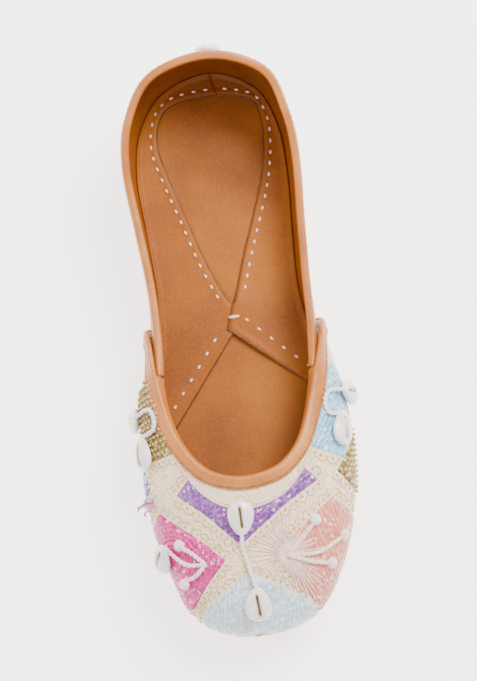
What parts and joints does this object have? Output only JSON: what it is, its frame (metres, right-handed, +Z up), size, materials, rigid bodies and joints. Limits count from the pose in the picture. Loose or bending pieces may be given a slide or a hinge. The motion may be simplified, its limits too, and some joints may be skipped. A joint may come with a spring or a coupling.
{
  "type": "punjabi jutti",
  "caption": "Flat embroidered leather slip-on slipper with a low open collar, a rounded closed toe and cowrie shell trim.",
  "frame": {"origin": "on the floor under the middle of the slipper", "axes": "+Y from toe to heel along the slipper, +X to the wearer's left when worn on the left foot, +Z up"},
  "size_m": [0.0984, 0.2528, 0.0608],
  "materials": {
    "coral_sole": "satin",
    "tan_leather": "satin, light tan vegetable tanned leather",
    "lining_leather": "smooth, mid tan lining leather",
    "cream_cloth": "matt cream raw silk",
    "embroidered_cloth": "cream cloth with thread and bead embroidery",
    "shell": "glossy natural shell"
  },
  "bodies": {
    "root": {"outsole": "coral_sole", "board": "tan_leather", "heel_lift": "tan_leather", "insole": "lining_leather", "upper": "cream_cloth", "vamp": "embroidered_cloth", "quarter_binding": "tan_leather", "vamp_binding": "tan_leather", "lining_flaps": "lining_leather", "shell_throat": "shell", "shell_toe": "shell", "shell_left_front": "shell", "shell_left_rear": "shell", "shell_left_toe": "shell", "shell_right_front": "shell", "shell_right_rear": "shell", "shell_heel": "shell"}
  },
  "joints": []
}
